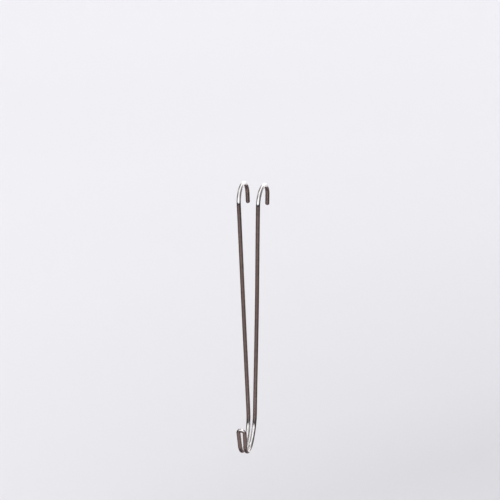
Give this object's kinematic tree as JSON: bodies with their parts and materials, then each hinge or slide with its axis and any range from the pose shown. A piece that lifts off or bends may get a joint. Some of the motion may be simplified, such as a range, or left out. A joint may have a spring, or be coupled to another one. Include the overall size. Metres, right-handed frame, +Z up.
{
  "type": "clothes hanger",
  "caption": "Slim bent-wire hanger that hooks over a round garment rail and carries its load in a forward-opening hook with a looped tip.",
  "frame": {"origin": "on the axis of the rail that the hanger hangs on, halfway between its two rail bends", "axes": "+X along the rail, +Y to the back, away from the side that the lower hook opens to, +Z up"},
  "size_m": [0.024, 0.0571, 0.265],
  "materials": {
    "wire": "bright polished round wire"
  },
  "bodies": {
    "root": {"left_tail": "wire", "right_tail": "wire", "left_rail_bend": "wire", "right_rail_bend": "wire", "left_shank": "wire", "right_shank": "wire", "left_neck_bend": "wire", "right_neck_bend": "wire", "left_bowl_bend": "wire", "right_bowl_bend": "wire", "left_front_leg": "wire", "right_front_leg": "wire", "tip_bend": "wire"}
  },
  "joints": []
}
